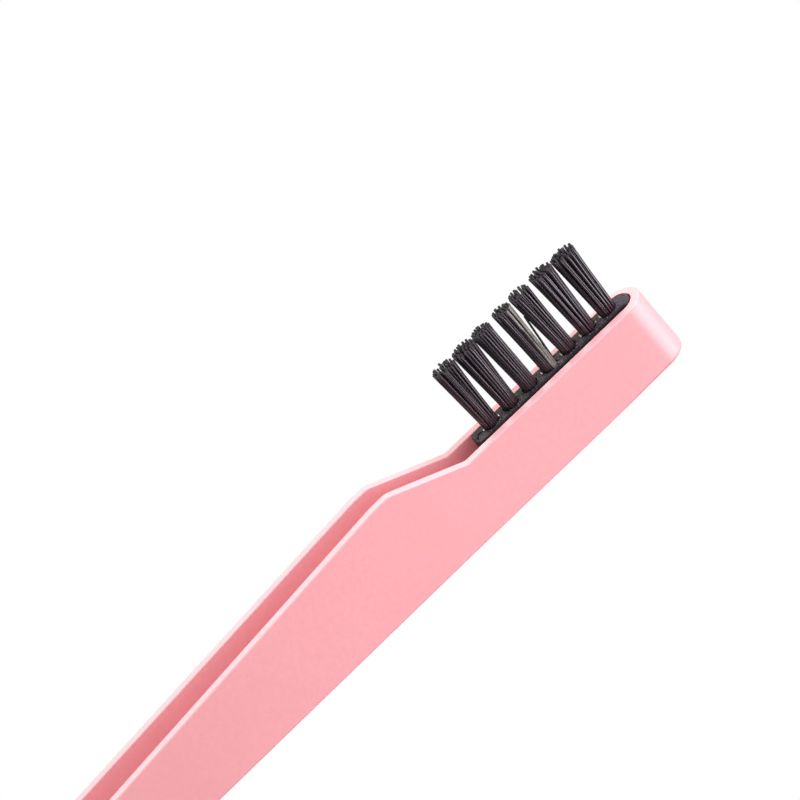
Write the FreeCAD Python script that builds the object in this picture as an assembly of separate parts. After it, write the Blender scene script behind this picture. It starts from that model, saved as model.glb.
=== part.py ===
"""Spring tweezers with a one-row brush held in their closed end.

One flat strip is folded into a narrow U.  The fold grips a plastic block with
a single row of bristle tufts, and the two legs of the U run back as a pair of
tapering, slightly spreading arms that end in slanted tips.

Frame, in millimetres: +X towards the folded end, +Z the way the bristles
point, Y across the strip.  z = 0 is the straight lower edge of the strip and
the origin is under the middle of the overall length.
"""
import FreeCAD
import Part

import math
import os

from FreeCAD import Vector

# Overall form of the folded strip, which is thinned a little where it is bent.
OVERALL_LENGTH = 105.0
STRIP_THICKNESS = 1.0
BEND_WALL = 0.85
HEAD_WIDTH = 4.84
HEAD_HEIGHT = 6.76

# Upper edge of the strip, as distances back from the folded end.  It climbs from
# the neck to a short level shoulder and then tapers to the tip.
NECK_BACK = 21.82
NECK_RADIUS = 1.2
SHOULDER_BACK = 29.1
SHOULDER_HEIGHT = 9.9
SHOULDER_RADIUS = 2.0
SHOULDER_LENGTH = 1.9
TAPER_RADIUS = 12.0
TIP_HEIGHT = 3.76

# The strip is folded this far off its middle, so that the near arm's outline sits
# nearer to the fold and the far arm's outline further from it.
FOLD_OFFSET = 0.24

# The arms leave the head at the flex line, each turned outwards a little.
FLEX_BACK = 25.5
FLEX_GAP = 0.05
SPLAY_DEG = 0.75
TIP_SLANT_DEG = 25.0
TIP_POINT_RADIUS = 0.25
TIP_HEEL_RADIUS = 0.4
TIP_BEVEL_LENGTH = 7.0
TIP_THICKNESS = 0.45

# Moulded block that carries the tufts.
BLOCK_LENGTH = 18.65
BLOCK_CORNER_RADIUS = 0.5
BLOCK_BOTTOM = 0.4
BLOCK_TOP_BACK = 6.87
BLOCK_TOP_FRONT = 7.02
FILM_THICKNESS = 0.1
FILM_BOTTOM = 0.7
FILM_TOP = 6.15

# Seven tufts, each folded round a flat metal anchor and driven into its hole.
# They flare and lean a little differently, listed from the arm end.
TUFT_COUNT = 7
TUFT_PITCH = 2.375
LAST_TUFT_BACK = 3.2
HOLE_RADIUS = 0.85
HOLE_DEPTH = 2.0
FIRST_TIP_HEIGHT = 14.1
LAST_TIP_HEIGHT = 14.45
TUFT_TIP_RADII = (1.21, 1.17, 1.02, 1.0, 1.1, 1.24, 1.27)
TUFT_LEANS = (-0.11, -0.08, -0.24, -0.07, -0.31, -0.05, 0.11)
ANCHOR_LENGTH = 2.0
ANCHOR_THICKNESS = 0.28
ANCHOR_HEIGHT = 1.5
ANCHOR_SINK = 0.12

# Worked out from the values above.
FRONT_X = OVERALL_LENGTH / 2
OUTER_RADIUS = HEAD_WIDTH / 2
INNER_RADIUS = OUTER_RADIUS - STRIP_THICKNESS
BEND_X = FRONT_X - OUTER_RADIUS
INNER_BEND_X = FRONT_X - BEND_WALL - INNER_RADIUS
FLEX_X = FRONT_X - FLEX_BACK
TIP_X = -OVERALL_LENGTH / 2
BLOCK_RADIUS = INNER_RADIUS - FILM_THICKNESS
BLOCK_FRONT_X = INNER_BEND_X + BLOCK_RADIUS
BLOCK_BACK_X = BLOCK_FRONT_X - BLOCK_LENGTH
FIRST_TUFT_X = FRONT_X - LAST_TUFT_BACK - TUFT_PITCH * (TUFT_COUNT - 1)

# Cutting tools reach this far past the solid that they trim.
PAST = 2.0


def rounded_face(corners, to_vector):
    """Closed face through corners (a, b, radius), each corner rounded by its radius."""
    edges = []
    ends = []
    count = len(corners)
    for index, (a, b, radius) in enumerate(corners):
        here = Vector(a, b, 0)
        before = Vector(*corners[index - 1][:2], 0)
        after = Vector(*corners[(index + 1) % count][:2], 0)
        if radius == 0:
            ends.append((here, None, here))
            continue
        back = (before - here).normalize()
        ahead = (after - here).normalize()
        half_angle = back.getAngle(ahead) / 2
        reach = radius / math.tan(half_angle)
        centre = here + (back + ahead).normalize() * (radius / math.sin(half_angle))
        middle = centre + (here - centre).normalize() * radius
        ends.append((here + back * reach, middle, here + ahead * reach))
    for index, (start, middle, end) in enumerate(ends):
        if middle is not None:
            edges.append(Part.Arc(*[to_vector(p.x, p.y) for p in (start, middle, end)]).toShape())
        next_start = ends[(index + 1) % count][0]
        edges.append(Part.LineSegment(to_vector(end.x, end.y),
                                      to_vector(next_start.x, next_start.y)).toShape())
    return Part.Face(Part.Wire(edges))


def side_prism(corners, low_y=-HEAD_WIDTH, high_y=HEAD_WIDTH):
    """Solid of a side-view outline (x, z, radius), by default wide enough to trim the whole strip."""
    face = rounded_face(corners, lambda x, z: Vector(x, low_y, z))
    return face.extrude(Vector(0, high_y - low_y, 0))


def plan_prism(corners, bottom, top):
    """Solid of a top-view outline (x, y, radius) between two heights."""
    face = rounded_face(corners, lambda x, y: Vector(x, y, bottom))
    return face.extrude(Vector(0, 0, top - bottom))


def round_front_bar(back_x, front_centre_x, radius, bottom, top, corner_radius=0):
    """Upright bar with a full-round front end and a square back end, its corners rounded if asked."""
    bar = plan_prism([
        (back_x, -radius, corner_radius),
        (back_x, radius, corner_radius),
        (front_centre_x, radius, 0),
        (front_centre_x, -radius, 0),
    ], bottom, top)
    nose = Part.makeCylinder(radius, top - bottom, Vector(front_centre_x, 0, bottom))
    return bar.fuse(nose).removeSplitter()


def place_back(back, side):
    """X of a feature of the outline on one side, given as a distance back from the fold."""
    return FRONT_X - back - side * FOLD_OFFSET


def slope_height(x, side):
    """Height of the straight slope between the neck and the shoulder."""
    share = (place_back(NECK_BACK, side) - x) / (SHOULDER_BACK - NECK_BACK)
    return HEAD_HEIGHT + share * (SHOULDER_HEIGHT - HEAD_HEIGHT)


def head_profile(side):
    """Trimming solid for the half of the head on one side."""
    return side_prism([
        (FLEX_X, 0, 0),
        (FRONT_X + PAST, 0, 0),
        (FRONT_X + PAST, HEAD_HEIGHT, 0),
        (place_back(NECK_BACK, side), HEAD_HEIGHT, NECK_RADIUS),
        (FLEX_X, slope_height(FLEX_X, side), 0),
    ], min(0, side * HEAD_WIDTH), max(0, side * HEAD_WIDTH))


def make_head_band():
    """The fold of the strip, with the two side walls up to the flex line."""
    outside = round_front_bar(FLEX_X, BEND_X, OUTER_RADIUS, 0, SHOULDER_HEIGHT)
    inside = round_front_bar(FLEX_X - PAST, INNER_BEND_X, INNER_RADIUS, -PAST, SHOULDER_HEIGHT + PAST)
    band = outside.cut(inside)
    near_half = band.common(head_profile(-1))
    far_half = band.common(head_profile(1))
    return near_half.fuse(far_half).removeSplitter()


def make_arm(side):
    """One arm, side -1 for the arm at negative Y and +1 for its mirror image."""
    splay = math.radians(SPLAY_DEG)
    start_x = FLEX_X - FLEX_GAP
    tip_x = FLEX_X - (FLEX_X - TIP_X) / math.cos(splay) - lost_at_point()
    shoulder_x = place_back(SHOULDER_BACK, side)
    taper_x = shoulder_x - SHOULDER_LENGTH
    taper = (SHOULDER_HEIGHT - TIP_HEIGHT) / (taper_x - tip_x)
    slant = math.tan(math.radians(TIP_SLANT_DEG))
    cut_height = TIP_HEIGHT / (1 - taper * slant)
    profile = side_prism([
        (start_x, 0, 0),
        (start_x, slope_height(start_x, side), 0),
        (shoulder_x, SHOULDER_HEIGHT, SHOULDER_RADIUS),
        (taper_x, SHOULDER_HEIGHT, TAPER_RADIUS),
        (tip_x + cut_height * slant, cut_height, TIP_HEEL_RADIUS),
        (tip_x, 0, TIP_POINT_RADIUS),
    ])
    inner = side * INNER_RADIUS
    outer = side * OUTER_RADIUS
    plan = plan_prism([
        (start_x, inner, 0),
        (start_x, outer, 0),
        (tip_x + TIP_BEVEL_LENGTH, outer, 0),
        (tip_x - PAST, inner + side * (TIP_THICKNESS - PAST * tip_slope()), 0),
        (tip_x - PAST, inner, 0),
    ], -PAST, SHOULDER_HEIGHT + PAST)
    arm = plan.common(profile)
    arm.rotate(flex_point(side), Vector(0, 0, 1), -side * SPLAY_DEG)
    return arm


def lost_at_point():
    """Length that rounding takes off the sharp lower corner of a tip."""
    half_angle = math.radians(90 - TIP_SLANT_DEG) / 2
    return TIP_POINT_RADIUS / math.tan(half_angle) - TIP_POINT_RADIUS


def tip_slope():
    """Fall of the bevelled outer face towards the tip, per millimetre."""
    return (STRIP_THICKNESS - TIP_THICKNESS) / TIP_BEVEL_LENGTH


def flex_point(side):
    """Middle of the strip's thickness at the flex line, where the arm swings."""
    return Vector(FLEX_X, side * (OUTER_RADIUS + INNER_RADIUS) / 2, 0)


def block_top(x):
    """Height of the block's gently rising top face."""
    share = (x - BLOCK_BACK_X) / BLOCK_LENGTH
    return BLOCK_TOP_BACK + share * (BLOCK_TOP_FRONT - BLOCK_TOP_BACK)


def tuft_x(index):
    """Centre of a tuft along the row, counted from the arm end."""
    return FIRST_TUFT_X + TUFT_PITCH * index


def tip_height(index):
    """Height of a tuft's tips, which rise a little towards the fold."""
    return FIRST_TIP_HEIGHT + (LAST_TIP_HEIGHT - FIRST_TIP_HEIGHT) * index / (TUFT_COUNT - 1)


def make_block():
    """Block with a blind hole and an anchor slot for every tuft."""
    block = round_front_bar(BLOCK_BACK_X, INNER_BEND_X, BLOCK_RADIUS, BLOCK_BOTTOM, HEAD_HEIGHT + PAST,
                            BLOCK_CORNER_RADIUS)
    low_x = BLOCK_BACK_X - PAST
    high_x = BLOCK_FRONT_X + PAST
    block = block.common(side_prism([
        (low_x, BLOCK_BOTTOM, 0),
        (high_x, BLOCK_BOTTOM, 0),
        (high_x, block_top(high_x), 0),
        (low_x, block_top(low_x), 0),
    ]))
    for index in range(TUFT_COUNT):
        x = tuft_x(index)
        floor = block_top(x) - HOLE_DEPTH
        block = block.cut(Part.makeCylinder(HOLE_RADIUS, HOLE_DEPTH + PAST, Vector(x, 0, floor)))
        block = block.cut(anchor_bar(index, ANCHOR_HEIGHT + ANCHOR_SINK + PAST))
    return block


def make_film():
    """Adhesive that fills the narrow gap between the block and the fold."""
    back_x = BLOCK_BACK_X + BLOCK_CORNER_RADIUS
    outside = round_front_bar(back_x, INNER_BEND_X, INNER_RADIUS, FILM_BOTTOM, FILM_TOP)
    inside = round_front_bar(back_x - PAST, INNER_BEND_X, BLOCK_RADIUS, FILM_BOTTOM - PAST, FILM_TOP + PAST)
    return outside.cut(inside)


def anchor_bar(index, height):
    """Bar of the anchor's outline standing on the anchor's lower edge."""
    x = tuft_x(index)
    bottom = block_top(x) - ANCHOR_SINK - ANCHOR_HEIGHT
    corner = Vector(x - ANCHOR_LENGTH / 2, -ANCHOR_THICKNESS / 2, bottom)
    return Part.makeBox(ANCHOR_LENGTH, ANCHOR_THICKNESS, height, corner)


def make_tuft(index):
    """Bundle of filaments as one solid: a plug in the hole and a widening brush."""
    x = tuft_x(index)
    top = block_top(x)
    plug = Part.makeCylinder(HOLE_RADIUS, HOLE_DEPTH, Vector(x, 0, top - HOLE_DEPTH))
    mouth = Part.Wire(Part.makeCircle(HOLE_RADIUS, Vector(x, 0, top)))
    tip_centre = Vector(x + TUFT_LEANS[index], 0, tip_height(index))
    tip = Part.Wire(Part.makeCircle(TUFT_TIP_RADII[index], tip_centre))
    brush = Part.makeLoft([mouth, tip], True, True)
    return plug.fuse(brush).cut(anchor_bar(index, ANCHOR_HEIGHT))


def export(name, shape):
    """Write one node, checking that it is a single sound solid."""
    if len(shape.Solids) != 1 or not shape.isValid():
        raise ValueError(name + " is not one valid solid")
    solid = shape.Solids[0]
    solid.exportStep(os.path.join("parts", name + ".step"))
    box = solid.BoundBox
    print("%-14s volume %8.3f mm3  x %.2f..%.2f  y %.2f..%.2f  z %.2f..%.2f" % (
        name, solid.Volume, box.XMin, box.XMax, box.YMin, box.YMax, box.ZMin, box.ZMax))


def main():
    os.makedirs("parts", exist_ok=True)
    export("head_band", make_head_band())
    export("near_arm", make_arm(-1))
    export("far_arm", make_arm(1))
    export("brush_block", make_block())
    export("adhesive_film", make_film())
    for index in range(TUFT_COUNT):
        export("tuft_%d" % (index + 1), make_tuft(index))
        export("anchor_%d" % (index + 1), anchor_bar(index, ANCHOR_HEIGHT))


main()
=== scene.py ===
"""Studio picture of a tweezer-handled nail brush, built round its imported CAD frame."""

import math
import random

import bmesh
import bpy
from mathutils import Matrix, Vector, noise


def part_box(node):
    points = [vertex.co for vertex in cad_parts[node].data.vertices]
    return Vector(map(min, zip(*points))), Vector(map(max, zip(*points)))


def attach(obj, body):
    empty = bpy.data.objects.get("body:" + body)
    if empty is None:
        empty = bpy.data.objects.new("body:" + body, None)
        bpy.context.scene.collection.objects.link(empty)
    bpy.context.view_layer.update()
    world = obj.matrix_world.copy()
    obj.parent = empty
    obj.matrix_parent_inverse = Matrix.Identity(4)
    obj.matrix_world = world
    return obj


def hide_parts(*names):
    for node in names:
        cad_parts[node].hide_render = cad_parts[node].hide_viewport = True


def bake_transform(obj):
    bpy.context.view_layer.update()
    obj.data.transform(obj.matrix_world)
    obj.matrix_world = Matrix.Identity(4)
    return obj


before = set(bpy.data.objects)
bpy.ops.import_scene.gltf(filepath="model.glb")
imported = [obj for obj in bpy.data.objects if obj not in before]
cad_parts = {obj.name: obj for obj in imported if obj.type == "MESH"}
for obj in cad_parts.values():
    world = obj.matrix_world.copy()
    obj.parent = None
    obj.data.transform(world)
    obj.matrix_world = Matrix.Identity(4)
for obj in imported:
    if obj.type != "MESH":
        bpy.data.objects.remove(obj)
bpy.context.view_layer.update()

MM = 0.001
UP = Vector((0, 0, 1))
HALF_PI = math.pi / 2

# ---------------------------------------------------------------- the strip, in millimetres
# X runs along the tool towards the folded end. "Back" dimensions are measured from that end.
STRIP_THICKNESS = 1.0
BEND_WALL = 0.85
OUTER_EDGE_RADIUS = 0.14
INNER_EDGE_RADIUS = 0.08
SMALLEST_RADIUS = 0.02
# Towards the bend the strip's outer edges change to these radii, over this length.
BEND_LOWER_EDGE_RADIUS = 0.38
BEND_UPPER_EDGE_RADIUS = 0.18
BEND_EDGE_LENGTH = 6.0
HEAD_HEIGHT = 6.76
NECK_BACK = 21.82
NECK_RADIUS = 1.2
SHOULDER_BACK = 29.1
SHOULDER_HEIGHT = 9.9
SHOULDER_RADIUS = 2.0
SHOULDER_LENGTH = 1.9
TAPER_RADIUS = 12.0
TIP_HEIGHT = 3.76
# The strip is folded this far off its middle, so its two shoulders don't line up.
FOLD_OFFSET = 0.24
SEAM_BACK = 20.0
FLEX_BACK = 25.5
FLEX_SPREAD = 4.0
SPLAY = math.radians(0.75)
TIP_SLANT = math.tan(math.radians(25))
TIP_SHEAR_LENGTH = 12.0
TIP_BEVEL_LENGTH = 7.0
TIP_THICKNESS = 0.45
TIP_EDGE_RADIUS = 0.12

# How finely the strip is meshed. Supports are short flat stretches beside a rounding.
ARC_STEPS = 8
EDGE_SUPPORT = 0.04
CORNER_SUPPORT = 0.1
BEND_SUPPORT = 0.15
BEND_STEPS = 48
TIP_STEPS = 5
LONGEST_SPAN = 1.0

# ---------------------------------------------------------------- the brush, in millimetres
BLOCK_EDGE_RADIUS = 0.2
BLOCK_CORNER_RADIUS = 0.75
BLOCK_TOP_FALL = 0.15
HOLE_RADIUS = 0.85
HOLE_DEPTH = 0.5
HOLE_WALL = 0.02
LIP_WIDTH = 0.20
LIP_HEIGHT = 0.06
# Unevenness of the block's skin, as (height, size, layer of the noise).
PITS = ((0.022, 0.21, 0), (0.012, 0.09, 5))
# A moulding groove, as (along, across) offsets from a point GROOVE_BACK behind the middle of the
# first tuft.
GROOVE = ((0.0, 0.0), (-0.45, 0.2), (-0.85, 0.0), (-1.03, -0.45), (-1.1, -1.3))
GROOVE_BACK = 0.9
GROOVE_DEPTH = 0.22
GROOVE_WIDTH = 0.07
# A paler, speckless purple-grey at the block's two ends, as the ranges of X over which it fades in
# or out: at the front end it is a painted sheen, and at the tail end it goes on the near side only.
SHEEN_FRONT = (48.9, 50.6)
PALE_TAIL = (34.05, 34.35)

# How finely the block is meshed.
BLOCK_STRAIGHT_STEPS = 200
BLOCK_ROUND_STEPS = 36
BLOCK_BACK_STEPS = 24
BLOCK_CORNER_STEPS = 8
BLOCK_EDGE_STEPS = 6
BLOCK_TOP_STEPS = 26
BLOCK_UNDERSIDE_INSET = 0.6

# One value for each tuft, counted from the arm end.
TUFT_ROOT_RADII = (0.78, 0.72, 0.75, 0.76, 0.73, 0.78, 0.85)
TUFT_TIP_RADII = (1.23, 1.28, 1.07, 1.02, 1.13, 1.26, 1.30)
TUFT_LEANS = (-0.11, -0.08, -0.24, -0.07, -0.31, -0.05, 0.11)
TIP_DROPS = (0.0, 0.0, 0.0, 0.0, 0.0, 0.05, 0.3)
# How many filaments of each tuft are painted grey as a painted highlight band.
PALE_FILAMENTS = (0, 0, 0, 4, 0, 0, 0)
GLOSSY_SHARES = (0.30, 0.30, 0.25, 0.30, 0.30, 0.32, 0.65)
DULL_SHARES = (0.35, 0.35, 0.40, 0.35, 0.35, 0.35, 0.15)
# How high the sheared ends of each anchor stand up, at its arm end and at its front end.
BURR_SHARES = ((1.0, 1.2), (0.3, 0.6), (0.4, 0.5), (1.2, 0.3), (1.2, 0.3), (1.2, 0.8), (1.3, 0.0))

# Filaments painted grey as a highlight are outer ones that lean further than this to the front and
# to the near side.
PALE_LEAST_X = 0.22
PALE_MOST_Y = -0.12

TUFT_COUNT = 7
FIRST_SEED = 100
FIRST_TIP_HEIGHT = 14.1
LAST_TIP_HEIGHT = 14.45
ROOT_DEPTH = 0.9
ROOT_FLATTENING = 0.88
TIP_FLATTENING = 0.95
HALF_ANCHOR_GAP = 0.08
TUFT_WAIST = 0.05
# Below 1, the inner filaments fan out further and crowd the rim of the tuft's top.
TIP_CROWDING = 0.75
TIP_RISE = 0.03

FILAMENT_RINGS = (1, 6, 12, 19)
FILAMENT_RADIUS = 0.118
FILAMENT_SIDES = 10
FILAMENT_STEPS = 10
# The domed cut end, as (share of the radius, rise).
FILAMENT_DOME = ((0.80, 0.022), (0.45, 0.034))

# Spreads of the random draws for each filament.
PLACE_SPREAD = 0.10
FAN_SPREAD = 0.04
TWIST_SPREAD = 0.11
LENGTH_SPREAD = 0.065
BOW_SPREAD = 0.025
THICKNESS_RANGE = (0.95, 1.04)

# One filament stands apart from its tuft and leans on the next one.
STRAY_TUFT = 3
STRAY_ROOT_X = 0.60
STRAY_TIP_X = 1.20
STRAY_TIP_Y = 0.1
STRAY_TIP_DROP = 2.1
STRAY_THICKNESS = 0.9

# Half of an anchor's outline, as (share of half its length, share of its thickness, burr height).
ANCHOR_STATIONS = ((1.0, 0.6, 0.14), (0.985, 1.0, 0.24), (0.95, 1.3, 0.28), (0.90, 1.3, 0.29),
                   (0.84, 1.2, 0.26), (0.79, 1.0, 0.14), (0.74, 1.0, 0.0))
ANCHOR_SIDES = 16
# An anchor's section is a circle stretched by these factors and cut off flat at its sides.
ANCHOR_SIDE_CUT = 1.25
ANCHOR_TOP_CUT = 1.02

# Places of a tuft's materials in its list.
DRAWN_SIDE, CUT_END, PALE_SIDE, GLOSSY_SIDE, DULL_SIDE = range(5)

head_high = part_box("head_band")[1] / MM
block_low, block_high = [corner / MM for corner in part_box("brush_block")]
arm_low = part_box("near_arm")[0] / MM

FRONT_X = head_high.x
OUTER_RADIUS = head_high.y
INNER_RADIUS = OUTER_RADIUS - STRIP_THICKNESS
MIDDLE_RADIUS = OUTER_RADIUS - STRIP_THICKNESS / 2
BEND_X = FRONT_X - OUTER_RADIUS
SEAM_X = FRONT_X - SEAM_BACK
FLEX_X = FRONT_X - FLEX_BACK
TIP_X = arm_low.x
TAPER_SLOPE = (SHOULDER_HEIGHT - TIP_HEIGHT) / (FRONT_X - SHOULDER_BACK - SHOULDER_LENGTH - TIP_X)

BLOCK_RADIUS = block_high.y
BLOCK_FRONT_CENTRE = block_high.x - BLOCK_RADIUS


# ---------------------------------------------------------------- materials
class Nodes:
    """A material's node tree, with short calls to add and join nodes."""

    def __init__(self, name):
        self.material = bpy.data.materials.new(name)
        self.material.use_nodes = True
        self.tree = self.material.node_tree
        self.shader = self.tree.nodes["Principled BSDF"]
        self.coords = self.tree.nodes.new("ShaderNodeTexCoord").outputs["Object"]

    def set(self, **values):
        """Sets sockets of the shader. An underscore stands for a space in a socket's name."""
        for name, value in values.items():
            self.shader.inputs[name.replace("_", " ")].default_value = value

    def join(self, output, socket):
        """Links an output to a socket, or to the shader's socket of that name."""
        if isinstance(socket, str):
            socket = self.shader.inputs[socket]
        self.tree.links.new(output, socket)

    def noise(self, size_mm, detail=2.0, roughness=0.5, stretch=(1, 1, 1)):
        """Noise whose blobs are about size_mm across, in object space."""
        mapping = self.tree.nodes.new("ShaderNodeMapping")
        mapping.inputs["Scale"].default_value = [s / (size_mm * MM) for s in stretch]
        self.join(self.coords, mapping.inputs["Vector"])
        node = self.tree.nodes.new("ShaderNodeTexNoise")
        node.inputs["Scale"].default_value = 1.0
        node.inputs["Detail"].default_value = detail
        node.inputs["Roughness"].default_value = roughness
        self.join(mapping.outputs["Vector"], node.inputs["Vector"])
        return node.outputs["Fac"]

    def ramp(self, value, first, last):
        """Colour ramp between two stops (position, colour)."""
        node = self.tree.nodes.new("ShaderNodeValToRGB")
        for element, (position, colour) in zip(node.color_ramp.elements, (first, last)):
            element.position = position
            element.color = (*colour, 1)
        self.join(value, node.inputs["Fac"])
        return node.outputs["Color"]

    def spread(self, value, low, high):
        """Maps a 0 to 1 value onto low to high."""
        node = self.tree.nodes.new("ShaderNodeMapRange")
        node.inputs["To Min"].default_value = low
        node.inputs["To Max"].default_value = high
        self.join(value, node.inputs["Value"])
        return node.outputs["Result"]

    def along(self, axis, low_mm, high_mm):
        """0 to 1 from low_mm to high_mm along the axis named."""
        split = self.tree.nodes.new("ShaderNodeSeparateXYZ")
        self.join(self.coords, split.inputs["Vector"])
        node = self.tree.nodes.new("ShaderNodeMapRange")
        node.inputs["From Min"].default_value = low_mm * MM
        node.inputs["From Max"].default_value = high_mm * MM
        self.join(split.outputs[axis], node.inputs["Value"])
        return node.outputs["Result"]

    def blend(self, share, first, second):
        """Mix of two colours."""
        node = self.tree.nodes.new("ShaderNodeMix")
        node.data_type = "RGBA"
        self.join(share, node.inputs["Factor"])
        self.join(first, node.inputs["A"])
        self.join(second, node.inputs["B"])
        return node.outputs["Result"]

    def bump(self, value, height_mm):
        """Bump whose full height is height_mm."""
        node = self.tree.nodes.new("ShaderNodeBump")
        node.inputs["Strength"].default_value = 1.0
        node.inputs["Distance"].default_value = height_mm * MM
        self.join(value, node.inputs["Height"])
        self.join(node.outputs["Normal"], "Normal")


def painted_strip_material():
    """Smooth satin powder coat: soft pink with the faintest orange peel."""
    n = Nodes("painted_strip")
    cloud = n.noise(9.0, 3.0)
    light = n.ramp(cloud, (0.3, (0.845, 0.358, 0.388)), (0.7, (0.860, 0.372, 0.404)))
    deep = n.ramp(cloud, (0.3, (0.815, 0.330, 0.362)), (0.7, (0.830, 0.344, 0.378)))
    n.join(n.blend(n.spread(n.noise(0.5, 5.0, 0.75), -1.0, 2.0), light, deep), "Base Color")
    n.join(n.spread(n.noise(1.3, 3.0), 0.34, 0.46), "Roughness")
    n.bump(n.noise(0.16, 2.0), 0.003)
    n.set(IOR=1.5)
    return n.material


def block_material():
    """Moulded black plastic: mottled and dusty, with painted light: olive and bluish halves tinted
    for how light falls, a painted sheen at the front end and painted shade along the long edges.
    """
    n = Nodes("block_plastic")
    black, white = (0, 0, 0), (1, 1, 1)
    mottle = n.noise(0.22, 4.0, 0.7)
    # The olive and bluish tints of the two halves are painted light, not the plastic's own colour.
    olive = n.ramp(mottle, (0.42, (0.006, 0.005, 0.005)), (0.63, (0.072, 0.058, 0.050)))
    bluish = n.ramp(mottle, (0.44, (0.006, 0.004, 0.007)), (0.64, (0.050, 0.036, 0.050)))
    dust = n.ramp(mottle, (0.0, (0.13, 0.125, 0.11)), (1.0, (0.17, 0.16, 0.15)))
    # Paler purple-grey without specks, used as a painted sheen at the block's front end.
    pale_sheen = n.ramp(mottle, (0.38, (0.018, 0.014, 0.019)), (0.66, (0.076, 0.060, 0.076)))
    # Near-black painted shade for the block's long edges, where it meets the strip's walls.
    painted_edge_shade = n.ramp(mottle, (0.0, (0.004, 0.003, 0.004)), (1.0, (0.010, 0.008, 0.009)))
    specks = n.ramp(n.noise(0.16, 1.0), (0.61, black), (0.70, white))
    # Painted light: the near half is tinted bluish and the far half olive for how light falls on
    # each.
    top = n.blend(specks, n.blend(n.along("Y", 0.0, 0.9), bluish, olive), dust)
    # Painted sheen over the front end; the same grey goes on the near side of the tail end.
    top = n.blend(n.along("X", *SHEEN_FRONT), top, pale_sheen)
    tail = n.blend(n.along("X", *PALE_TAIL), pale_sheen, top)
    top = n.blend(n.along("Y", -0.6, -0.2), tail, top)
    # Masks of the painted shade: the block darkens to near black towards its near and far edges.
    near_shade_mask = n.ramp(n.along("Y", -1.28, -1.10), (0.0, white), (1.0, black))
    far_shade_mask = n.ramp(n.along("Y", 1.08, 1.26), (0.0, black), (1.0, white))
    n.join(n.blend(far_shade_mask, n.blend(near_shade_mask, top, painted_edge_shade), painted_edge_shade), "Base Color")
    n.join(n.spread(n.noise(0.35, 3.0), 0.50, 0.75), "Roughness")
    n.bump(n.noise(0.12, 3.0), 0.03)
    n.set(IOR=1.49, Specular_IOR_Level=0.15)
    return n.material


def bristle_material(name, low_roughness, high_roughness, specular_level):
    """Black nylon filament with a slight purple tint; drawing leaves some glossier than others."""
    n = Nodes(name)
    n.join(n.ramp(n.noise(0.3, 2.0, 0.5, (1, 1, 0.05)),
                  (0.3, (0.010, 0.006, 0.010)), (0.7, (0.020, 0.013, 0.018))), "Base Color")
    streaks = n.noise(0.6, 1.0, 0.5, (1, 1, 0.05))
    n.join(n.spread(streaks, low_roughness, high_roughness), "Roughness")
    n.set(IOR=1.53, Specular_IOR_Level=specular_level, Specular_Tint=(0.98, 0.90, 1.0, 1))
    return n.material


def painted_highlight_bristle_material():
    """Filaments painted grey as a highlight: a painted lit band, greyer than the rest."""
    n = Nodes("bristle_painted_highlight")
    n.join(n.ramp(n.noise(0.25, 2.0, 0.5, (1, 1, 0.12)),
                  (0.3, (0.025, 0.022, 0.022)), (0.7, (0.27, 0.245, 0.23))), "Base Color")
    n.join(n.spread(n.noise(0.4, 2.0, 0.5, (1, 1, 0.1)), 0.35, 0.5), "Roughness")
    n.set(IOR=1.53)
    return n.material


def cut_end_material():
    """Cut end of a filament: rougher than its drawn side."""
    n = Nodes("bristle_cut_end")
    n.join(n.ramp(n.noise(0.2, 2.0), (0.35, (0.006, 0.005, 0.005)), (0.7, (0.020, 0.016, 0.015))),
           "Base Color")
    n.join(n.spread(n.noise(0.08, 2.0), 0.55, 0.8), "Roughness")
    n.bump(n.noise(0.03, 2.0), 0.01)
    n.set(IOR=1.53, Specular_IOR_Level=0.35)
    return n.material


def anchor_material():
    """Sheared nickel-silver plate with a fine drawn grain."""
    n = Nodes("anchor_metal")
    n.join(n.ramp(n.noise(0.2, 2.0), (0.3, (0.86, 0.85, 0.83)), (0.7, (0.95, 0.94, 0.92))),
           "Base Color")
    n.join(n.spread(n.noise(0.1, 2.0, 0.5, (0.2, 1, 1)), 0.28, 0.42), "Roughness")
    n.bump(n.noise(0.04, 2.0, 0.5, (0.2, 1, 1)), 0.004)
    n.set(Metallic=1.0)
    return n.material


def adhesive_material():
    """Cured black adhesive, glossy and a little lumpy."""
    n = Nodes("adhesive")
    n.join(n.ramp(n.noise(0.6, 2.0), (0.3, (0.012, 0.008, 0.010)), (0.7, (0.030, 0.020, 0.024))),
           "Base Color")
    n.join(n.spread(n.noise(0.4, 2.0), 0.2, 0.4), "Roughness")
    n.bump(n.noise(0.3, 2.0), 0.03)
    n.set(IOR=1.5)
    return n.material


# ---------------------------------------------------------------- mesh building
def make_piece(name, points_mm, faces, materials, face_materials=None, sharp_deg=50):
    """Smooth-shaded mesh object from points in millimetres."""
    mesh = bpy.data.meshes.new(name)
    mesh.from_pydata([Vector(p) * MM for p in points_mm], [], faces)
    mesh.polygons.foreach_set("use_smooth", [True] * len(mesh.polygons))
    mesh.set_sharp_from_angle(angle=math.radians(sharp_deg))
    for material in materials:
        mesh.materials.append(material)
    if face_materials:
        mesh.polygons.foreach_set("material_index", face_materials)
    mesh.update()
    piece = bpy.data.objects.new(name, mesh)
    bpy.context.scene.collection.objects.link(piece)
    return piece


def orient(piece, weld=False):
    """Makes every face look outwards, after joining points that coincide if weld is true."""
    bm = bmesh.new()
    bm.from_mesh(piece.data)
    if weld:
        bmesh.ops.remove_doubles(bm, verts=bm.verts, dist=1e-7)
    bmesh.ops.recalc_face_normals(bm, faces=bm.faces)
    bm.to_mesh(piece.data)
    bm.free()


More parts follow.
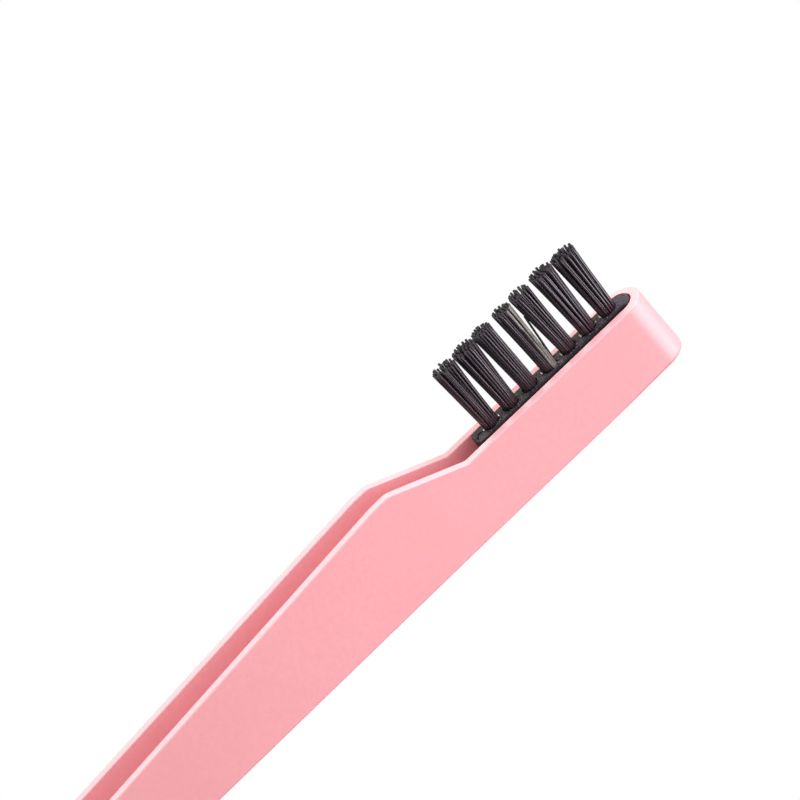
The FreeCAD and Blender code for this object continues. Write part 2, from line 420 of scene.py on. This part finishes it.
def tube_faces(ring_count, side_count, first=0, closed=True):
    """Faces that join rings of side_count points, with flat ends if closed."""
    faces = []
    for ring in range(ring_count - 1):
        for side in range(side_count):
            a = first + ring * side_count + side
            b = first + ring * side_count + (side + 1) % side_count
            faces.append((a, b, b + side_count, a + side_count))
    if closed:
        last = first + (ring_count - 1) * side_count
        faces.append(tuple(first + side for side in reversed(range(side_count))))
        faces.append(tuple(last + side for side in range(side_count)))
    return faces


def on_circle(angle):
    """Point (x, y) at this angle on a circle of radius 1."""
    return Vector((math.cos(angle), math.sin(angle)))


# ---------------------------------------------------------------- the strip
def strip_section(thickness, height, inset=0.0, lower_radius=OUTER_EDGE_RADIUS,
                  upper_radius=OUTER_EDGE_RADIUS):
    """Outline (across, up) of the strip. The radii given are those of its outer edges."""
    half = thickness / 2 - inset
    low, high = inset, height - inset
    corners = ((half, low, lower_radius, 270), (half, high, upper_radius, 0),
               (-half, high, INNER_EDGE_RADIUS, 90), (-half, low, INNER_EDGE_RADIUS, 180))
    outline = []
    for across, up, full_radius, start_deg in corners:
        radius = max(full_radius - inset, SMALLEST_RADIUS)
        centre = Vector((across - math.copysign(radius, across),
                         up + radius if up == low else up - radius))
        start = math.radians(start_deg)
        leaving = on_circle(start + HALF_PI)
        arriving = on_circle(start + math.pi)
        arc = [centre + on_circle(start + HALF_PI * step / ARC_STEPS) * radius
               for step in range(ARC_STEPS + 1)]
        outline.extend([arc[0] - leaving * EDGE_SUPPORT, *arc, arc[-1] + arriving * EDGE_SUPPORT])
    return outline


SECTION_POINTS = len(strip_section(STRIP_THICKNESS, HEAD_HEIGHT))


def upper_edge(side):
    """Points (x, z) along the strip's upper edge on one side, from the seam to the tip."""
    shoulder_x = FRONT_X - SHOULDER_BACK - side * FOLD_OFFSET
    corners = [
        (SEAM_X, HEAD_HEIGHT, 0),
        (FRONT_X - NECK_BACK - side * FOLD_OFFSET, HEAD_HEIGHT, NECK_RADIUS),
        (shoulder_x, SHOULDER_HEIGHT, SHOULDER_RADIUS),
        (shoulder_x - SHOULDER_LENGTH, SHOULDER_HEIGHT, TAPER_RADIUS),
        (TIP_X, TIP_HEIGHT, 0),
    ]
    points = [Vector(corners[0][:2])]
    for before, corner, after in zip(corners, corners[1:], corners[2:]):
        here = Vector(corner[:2])
        back = (Vector(before[:2]) - here).normalized()
        ahead = (Vector(after[:2]) - here).normalized()
        reach = corner[2] / math.tan(back.angle(ahead) / 2)
        start, end = here + back * reach, here + ahead * reach
        points.append(start + back * CORNER_SUPPORT)
        for step in range(ARC_STEPS + 1):
            share = step / ARC_STEPS
            # A rounded corner this shallow is very nearly a parabola through its tangent points.
            points.append(start.lerp(here, share).lerp(here.lerp(end, share), share))
        points.append(end + ahead * CORNER_SUPPORT)
    points.append(Vector(corners[-1][:2]))
    filled = [points[0]]
    for point in points[1:]:
        start = filled[-1]
        spans = max(1, math.ceil((point - start).length / LONGEST_SPAN))
        filled.extend(start.lerp(point, (k + 1) / spans) for k in range(spans))
    return filled


def splay_at(x):
    """(sideways shift, heading) of an arm's middle line, easing in across the flex line."""
    start = FLEX_X + FLEX_SPREAD
    end = FLEX_X - FLEX_SPREAD
    if x >= start:
        return 0.0, 0.0
    share = min(1.0, (start - x) / (start - end))
    heading = SPLAY * share
    shift = SPLAY * share * share * (start - end) / 2
    if x < end:
        shift += math.tan(SPLAY) * (end - x)
    return shift, heading


def make_arm_strip(side, material):
    """One arm from the seam to its slanted, bevelled tip."""
    edge = upper_edge(side)
    rings = [(place, 0.0, 0.0) for place in edge]
    for step in range(1, TIP_STEPS + 1):
        turn = on_circle(HALF_PI * step / TIP_STEPS)
        rings.append((edge[-1], TIP_EDGE_RADIUS * turn.y, TIP_EDGE_RADIUS * (1 - turn.x)))
    points = []
    for place, past, inset in rings:
        shift, heading = splay_at(place.x)
        left = max(0.0, place.x - TIP_X)
        shear = TIP_SLANT * max(0.0, 1 - left / TIP_SHEAR_LENGTH) ** 2
        bevel = max(0.0, 1 - left / TIP_BEVEL_LENGTH)
        thickness = STRIP_THICKNESS - (STRIP_THICKNESS - TIP_THICKNESS) * bevel
        height = place.y / (1 - shear * TAPER_SLOPE)
        across = Vector((math.sin(heading), math.cos(heading))) * side
        middle = MIDDLE_RADIUS + shift - (STRIP_THICKNESS - thickness) / 2
        for t, z in strip_section(thickness, height, inset):
            x = place.x + TIP_EDGE_RADIUS * bevel - past + shear * z
            points.append((x + across.x * t, side * middle + across.y * t, z))
    piece = make_piece("near_arm_strip" if side < 0 else "far_arm_strip", points,
                       tube_faces(len(rings), SECTION_POINTS), [material])
    orient(piece)
    return piece


def make_fold_strip(material):
    """The folded end: two straight walls and the round bend between them."""
    straight = (SEAM_X, BEND_X - BEND_EDGE_LENGTH, BEND_X - BEND_SUPPORT)
    stations = [(x, -HALF_PI) for x in straight]
    for step in range(BEND_STEPS + 1):
        stations.append((BEND_X, -HALF_PI + math.pi * step / BEND_STEPS))
    stations += [(x, HALF_PI) for x in reversed(straight)]
    # The bend's inner face is round about a point further out, which leaves its wall thinner.
    inner_shift = STRIP_THICKNESS - BEND_WALL
    points = []
    for x, angle in stations:
        outward = on_circle(angle).to_3d()
        across_bend = inner_shift * outward.y
        inner = inner_shift * outward.x + math.sqrt(INNER_RADIUS ** 2 - across_bend ** 2)
        middle = Vector((x, 0, 0)) + outward * (OUTER_RADIUS + inner) / 2
        share = max(0.0, 1 - (BEND_X - x) / BEND_EDGE_LENGTH)
        lower = OUTER_EDGE_RADIUS + (BEND_LOWER_EDGE_RADIUS - OUTER_EDGE_RADIUS) * share
        upper = OUTER_EDGE_RADIUS + (BEND_UPPER_EDGE_RADIUS - OUTER_EDGE_RADIUS) * share
        for t, z in strip_section(OUTER_RADIUS - inner, HEAD_HEIGHT, 0.0, lower, upper):
            points.append(middle + outward * t + UP * z)
    piece = make_piece("fold_strip", points, tube_faces(len(stations), SECTION_POINTS), [material])
    orient(piece)
    return piece


# ---------------------------------------------------------------- the brush
def tuft_x(index):
    """Middle of a tuft along the tool."""
    low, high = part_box("anchor_%d" % (index + 1))
    return (low.x + high.x) / 2 / MM


TUFT_CENTRES = [tuft_x(index) for index in range(TUFT_COUNT)]


def block_top(x):
    """Height of the block's top, which falls slightly towards the arms."""
    share = (x - block_low.x) / (block_high.x - block_low.x)
    return block_high.z - BLOCK_TOP_FALL * (1 - share)


def block_ring(inset):
    """Points (x, y) round the block's outline, moved in by inset: full-round front, square back."""
    radius = max(BLOCK_RADIUS - inset, 0.0)
    corner = min(max(BLOCK_CORNER_RADIUS - inset, 0.0), radius)
    back = block_low.x + inset
    straight = BLOCK_FRONT_CENTRE - back - corner
    straight_shares = [step / BLOCK_STRAIGHT_STEPS for step in range(BLOCK_STRAIGHT_STEPS)]
    corner_shares = [step / BLOCK_CORNER_STEPS for step in range(BLOCK_CORNER_STEPS)]
    ring = [(back + corner + share * straight, -radius) for share in straight_shares]
    for step in range(BLOCK_ROUND_STEPS):
        x, y = on_circle(-HALF_PI + math.pi * step / BLOCK_ROUND_STEPS) * radius
        ring.append((BLOCK_FRONT_CENTRE + x, y))
    ring += [(BLOCK_FRONT_CENTRE - share * straight, radius) for share in straight_shares]
    for share in corner_shares:
        x, y = on_circle(HALF_PI * (1 + share)) * corner
        ring.append((back + corner + x, radius - corner + y))
    for step in range(BLOCK_BACK_STEPS):
        ring.append((back, (radius - corner) * (1 - 2 * step / BLOCK_BACK_STEPS)))
    for share in corner_shares:
        x, y = on_circle(HALF_PI * (2 + share)) * corner
        ring.append((back + corner + x, corner - radius + y))
    return ring


def closest_on(start, end, place):
    """Nearest point to place on the straight piece from start to end."""
    way = end - start
    share = (place - start).dot(way) / way.length_squared
    return start + way * max(0.0, min(1.0, share))


def groove_distance(place):
    """Distance from the moulding groove that curls from the first anchor to the near wall."""
    bends = [Vector((TUFT_CENTRES[0] - GROOVE_BACK + along, across)) for along, across in GROOVE]
    return min((closest_on(before, after, place) - place).length
               for before, after in zip(bends, bends[1:]))


def block_height(x, y):
    """Top face height: pitted skin, a low lip round every hole and the groove at the arm end."""
    z = block_top(x)
    for height, size, layer in PITS:
        z += height * noise.noise(Vector((x, y, layer)) / size)
    distance = math.hypot(min(abs(x - centre) for centre in TUFT_CENTRES), y)
    lip = (distance - HOLE_RADIUS) / LIP_WIDTH
    if distance < HOLE_RADIUS - HOLE_WALL:
        z -= HOLE_DEPTH
    elif lip < 1:
        z += LIP_HEIGHT * math.sin(math.pi * max(lip, 0.0))
    if x < TUFT_CENTRES[0] - HOLE_RADIUS:
        z -= GROOVE_DEPTH * math.exp(-(groove_distance(Vector((x, y))) / GROOVE_WIDTH) ** 2)
    return z


def make_block(material):
    """Moulded block with rounded rims and a hollow for every tuft."""
    profile = []
    for step in range(BLOCK_EDGE_STEPS + 1):
        turn = on_circle(HALF_PI * step / BLOCK_EDGE_STEPS)
        profile.append((BLOCK_EDGE_RADIUS * (1 - turn.x), BLOCK_EDGE_RADIUS * (1 - turn.y)))
    rings = []
    # Underside, from the middle outwards, then up the side.
    for inset in (BLOCK_RADIUS, BLOCK_UNDERSIDE_INSET, BLOCK_EDGE_RADIUS):
        rings.append([(x, y, block_low.z) for x, y in block_ring(inset)])
    for inset, drop in reversed(profile[:-1]):
        rings.append([(x, y, block_low.z + drop) for x, y in block_ring(inset)])
    side_top = BLOCK_EDGE_RADIUS + CORNER_SUPPORT
    rings.append([(x, y, block_top(x) - side_top) for x, y in block_ring(0)])
    for inset, drop in profile:
        rings.append([(x, y, block_top(x) - drop) for x, y in block_ring(inset)])
    # Top, from the rim inwards.
    for step in range(1, BLOCK_TOP_STEPS + 1):
        share = step / BLOCK_TOP_STEPS
        inset = BLOCK_EDGE_RADIUS + (BLOCK_RADIUS - BLOCK_EDGE_RADIUS) * share
        rings.append([(x, y, block_height(x, y)) for x, y in block_ring(inset)])
    points = [point for ring in rings for point in ring]
    faces = tube_faces(len(rings), len(rings[0]), closed=False)
    piece = make_piece("block_body", points, faces, [material], sharp_deg=60)
    orient(piece, weld=True)
    return piece


class Filaments:
    """Points, faces and materials of a bundle of filaments."""

    def __init__(self):
        self.points, self.faces, self.kinds = [], [], []

    def add(self, base, tip, bow_x, bow_y, radius, side_kind):
        """Round filament bowed in its middle, closed by a slightly domed cut end."""
        circle = [on_circle(2 * math.pi * side / FILAMENT_SIDES).to_3d() * radius
                  for side in range(FILAMENT_SIDES)]
        first = len(self.points)
        for step in range(FILAMENT_STEPS + 1):
            t = step / FILAMENT_STEPS
            bow = math.sin(math.pi * t)
            middle = base.lerp(tip, t) + Vector((bow_x * bow, bow_y * bow, 0))
            self.points.extend(middle + spoke for spoke in circle)
        for share, rise in FILAMENT_DOME:
            self.points.extend(tip + spoke * share + UP * rise for spoke in circle)
        ring_count = FILAMENT_STEPS + 1 + len(FILAMENT_DOME)
        self.faces.extend(tube_faces(ring_count, FILAMENT_SIDES, first))
        self.kinds.extend([side_kind] * (FILAMENT_SIDES * FILAMENT_STEPS))
        self.kinds.extend([CUT_END] * (FILAMENT_SIDES * len(FILAMENT_DOME)))
        self.kinds.extend([side_kind, CUT_END])


def make_bristles(index, materials):
    """One tuft: folded filaments that leave the hole on both sides of the anchor."""
    rng = random.Random(FIRST_SEED + index)
    mouth = Vector((TUFT_CENTRES[index], 0, block_top(TUFT_CENTRES[index])))
    tip_z = FIRST_TIP_HEIGHT - TIP_DROPS[index]
    tip_z += (LAST_TIP_HEIGHT - FIRST_TIP_HEIGHT) * index / (TUFT_COUNT - 1)
    filaments = Filaments()
    pale_left = PALE_FILAMENTS[index]
    for ring, count in enumerate(FILAMENT_RINGS):
        share = ring / (len(FILAMENT_RINGS) - 1)
        start = rng.uniform(0, 2 * math.pi)
        for number in range(count):
            angle = start + 2 * math.pi * (number + rng.gauss(0, PLACE_SPREAD)) / count
            outward = on_circle(angle)
            root = outward * (TUFT_ROOT_RADII[index] - FILAMENT_RADIUS) * share
            root.y *= ROOT_FLATTENING
            root.y += math.copysign(HALF_ANCHOR_GAP, root.y)
            fan = share ** TIP_CROWDING - abs(rng.gauss(0, FAN_SPREAD))
            tip_way = on_circle(angle + rng.gauss(0, TWIST_SPREAD))
            tip_reach = (TUFT_TIP_RADII[index] - FILAMENT_RADIUS) * fan
            tip_drop = abs(rng.gauss(0, LENGTH_SPREAD)) - TIP_RISE
            bow_x = rng.gauss(0, BOW_SPREAD) - TUFT_WAIST * share * outward.x
            bow_y = rng.gauss(0, BOW_SPREAD) - TUFT_WAIST * share * outward.y
            base = mouth + Vector((root.x, root.y, -ROOT_DEPTH))
            tip = Vector((mouth.x + tip_reach * tip_way.x + TUFT_LEANS[index],
                          tip_reach * tip_way.y * TIP_FLATTENING, tip_z - tip_drop))
            lot = rng.random()
            kind = DRAWN_SIDE
            if lot < GLOSSY_SHARES[index]:
                kind = GLOSSY_SIDE
            elif lot > 1 - DULL_SHARES[index]:
                kind = DULL_SIDE
            # Painted highlight: a few outer filaments facing the front and the near side are
            # painted grey.
            near_front = tip_way.x > PALE_LEAST_X and tip_way.y < PALE_MOST_Y
            if pale_left and share == 1 and near_front:
                kind = PALE_SIDE
                pale_left -= 1
            radius = FILAMENT_RADIUS * rng.uniform(*THICKNESS_RANGE)
            filaments.add(base, tip, bow_x, bow_y, radius, kind)
    if index == STRAY_TUFT:
        base = mouth + Vector((STRAY_ROOT_X, 0, -ROOT_DEPTH))
        tip = Vector((mouth.x + STRAY_TIP_X, STRAY_TIP_Y, tip_z - STRAY_TIP_DROP))
        filaments.add(base, tip, 0, 0, FILAMENT_RADIUS * STRAY_THICKNESS, DULL_SIDE)
    return make_piece("tuft_%d_bristles" % (index + 1), filaments.points, filaments.faces,
                      materials, filaments.kinds)


def make_anchor(index, material):
    """Flat plate through the tuft whose sheared ends stand up beside it as small bright burrs."""
    low, high = [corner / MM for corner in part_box("anchor_%d" % (index + 1))]
    half_length = (high.x - low.x) / 2
    half_thickness = (high.y - low.y) / 2
    back_share, front_share = BURR_SHARES[index]
    stations = [(-along, width, rise * back_share) for along, width, rise in ANCHOR_STATIONS]
    stations += [(along, width, rise * front_share)
                 for along, width, rise in reversed(ANCHOR_STATIONS)]
    points = []
    for along, width, rise in stations:
        half_height = (high.z + rise - low.z) / 2
        for corner in range(ANCHOR_SIDES):
            turn = on_circle(2 * math.pi * corner / ANCHOR_SIDES)
            across = max(-1, min(1, ANCHOR_SIDE_CUT * turn.x))
            up = max(-1, min(1, ANCHOR_TOP_CUT * turn.y))
            points.append((TUFT_CENTRES[index] + half_length * along,
                           half_thickness * width * across,
                           low.z + half_height * (1 + up)))
    piece = make_piece("anchor_%d_plate" % (index + 1), points,
                       tube_faces(len(stations), ANCHOR_SIDES), [material])
    orient(piece)
    return piece


# ---------------------------------------------------------------- build the object
paint = painted_strip_material()
plastic = block_material()
# In the order of DRAWN_SIDE, CUT_END, PALE_SIDE, GLOSSY_SIDE and DULL_SIDE.
bristle_materials = [
    bristle_material("bristle_nylon", 0.26, 0.34, 0.8),
    cut_end_material(),
    painted_highlight_bristle_material(),
    bristle_material("bristle_glossy", 0.17, 0.23, 1.0),
    bristle_material("bristle_dull", 0.38, 0.48, 0.6),
]
metal = anchor_material()

fold = make_fold_strip(paint)
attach(fold, "head")
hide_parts("head_band")

for side, body in ((-1, "near_arm"), (1, "far_arm")):
    arm = make_arm_strip(side, paint)
    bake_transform(arm)
    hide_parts(body)

block = make_block(plastic)
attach(block, "head")
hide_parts("brush_block")

for index in range(TUFT_COUNT):
    tuft = make_bristles(index, bristle_materials)
    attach(tuft, "head")
    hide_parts("tuft_%d" % (index + 1))
    plate = make_anchor(index, metal)
    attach(plate, "head")
    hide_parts("anchor_%d" % (index + 1))

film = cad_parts["adhesive_film"]
film.data.materials.clear()
film.data.materials.append(adhesive_material())

# ---------------------------------------------------------------- studio
FLOOR_REACH = 3.0
FLOOR_GAP = 0.0001
# The camera looks at TARGET from far away, so that the view is nearly parallel.
TARGET = Vector((30.229, 0, 14.722)) * MM
HEAD = Vector((46, 0, 5)) * MM
CAMERA_AZIMUTH_DEG = -7.25
CAMERA_ELEVATION_DEG = 26.5
CAMERA_ROLL_DEG = -40.44
CAMERA_DISTANCE = 3.0
VIEW_WIDTH = 0.06989
SENSOR_WIDTH_MM = 36
WARM = (1.0, 0.97, 0.84)
# The surroundings fade from one brightness to the other within this much of the horizon.
SKY_ABOVE = 0.84
SKY_BELOW = 0.22
HORIZON_SPREAD = 0.15


def make_floor():
    """Bright pale floor, lit from within so that it stays free of shadows."""
    mesh = bpy.data.meshes.new("floor")
    corners = [(-1, -1, 0), (1, -1, 0), (1, 1, 0), (-1, 1, 0)]
    mesh.from_pydata([Vector(corner) * FLOOR_REACH for corner in corners], [], [(0, 1, 2, 3)])
    floor = bpy.data.objects.new("floor", mesh)
    floor.location.z = -FLOOR_GAP
    bpy.context.scene.collection.objects.link(floor)
    material = bpy.data.materials.new("floor")
    material.use_nodes = True
    shader = material.node_tree.nodes["Principled BSDF"]
    shader.inputs["Base Color"].default_value = (0, 0, 0, 1)
    shader.inputs["Specular IOR Level"].default_value = 0
    shader.inputs["Emission Color"].default_value = (1, 1, 1, 1)
    shader.inputs["Emission Strength"].default_value = 1.0
    mesh.materials.append(material)
    for ray in ("diffuse", "glossy", "transmission", "shadow"):
        setattr(floor, "visible_" + ray, False)


def make_softbox(name, aim, direction, distance, width, height, radiance, spread_deg=180,
                 colour=(1, 1, 1)):
    """Area light aimed at a point, given by the brightness of its face."""
    light = bpy.data.lights.new(name, "AREA")
    light.shape = "RECTANGLE"
    light.size = width
    light.size_y = height
    light.energy = radiance * math.pi * width * height
    light.spread = math.radians(spread_deg)
    light.color = colour
    lamp = bpy.data.objects.new(name, light)
    way = Vector(direction).normalized()
    lamp.location = aim + way * distance
    lamp.rotation_mode = "QUATERNION"
    lamp.rotation_quaternion = way.to_track_quat("Z", "Y")
    bpy.context.scene.collection.objects.link(lamp)


def make_world():
    """Surroundings that are brighter overhead than underneath."""
    world = bpy.data.worlds.new("studio")
    bpy.context.scene.world = world
    world.use_nodes = True
    tree = world.node_tree
    coords = tree.nodes.new("ShaderNodeTexCoord")
    split = tree.nodes.new("ShaderNodeSeparateXYZ")
    fade = tree.nodes.new("ShaderNodeMapRange")
    fade.inputs["From Min"].default_value = -HORIZON_SPREAD
    fade.inputs["From Max"].default_value = HORIZON_SPREAD
    fade.inputs["To Min"].default_value = SKY_BELOW
    fade.inputs["To Max"].default_value = SKY_ABOVE
    tree.links.new(coords.outputs["Generated"], split.inputs["Vector"])
    tree.links.new(split.outputs["Z"], fade.inputs["Value"])
    tree.links.new(fade.outputs["Result"], tree.nodes["Background"].inputs["Strength"])
    tree.nodes["Background"].inputs["Color"].default_value = (1, 1, 1, 1)


def make_camera():
    """Camera that looks at TARGET, with a picture that is VIEW_WIDTH across there."""
    azimuth = math.radians(CAMERA_AZIMUTH_DEG)
    elevation = math.radians(CAMERA_ELEVATION_DEG)
    back = Vector((math.sin(azimuth) * math.cos(elevation),
                   -math.cos(azimuth) * math.cos(elevation), math.sin(elevation)))
    level = on_circle(azimuth).to_3d()
    right = Matrix.Rotation(math.radians(CAMERA_ROLL_DEG), 3, back) @ level
    facing = Matrix((right, back.cross(right), back)).transposed().to_4x4()
    camera = bpy.data.objects.new("camera", bpy.data.cameras.new("camera"))
    camera.data.sensor_width = SENSOR_WIDTH_MM
    camera.data.lens = SENSOR_WIDTH_MM * CAMERA_DISTANCE / VIEW_WIDTH
    camera.data.clip_start = CAMERA_DISTANCE * 0.05
    camera.data.clip_end = CAMERA_DISTANCE * 30
    camera.matrix_world = Matrix.Translation(TARGET + back * CAMERA_DISTANCE) @ facing
    bpy.context.scene.collection.objects.link(camera)
    bpy.context.scene.camera = camera


make_floor()
make_softbox("key", TARGET, (1.0, -0.35, 1.0), 0.35, 0.16, 0.16, 19.0)
make_softbox("back", TARGET, (0.0, 1.0, 0.62), 0.40, 0.60, 0.22, 2.4, colour=WARM)
make_softbox("head_fill", HEAD, (0.35, -1.0, 0.0), 0.20, 0.10, 0.10, 0.32, spread_deg=50)
make_softbox("low_right", TARGET, (1.0, -0.577, -0.563), 0.35, 0.30, 0.18, 5.0)
make_camera()
make_world()
bpy.context.scene.view_settings.view_transform = "Standard"
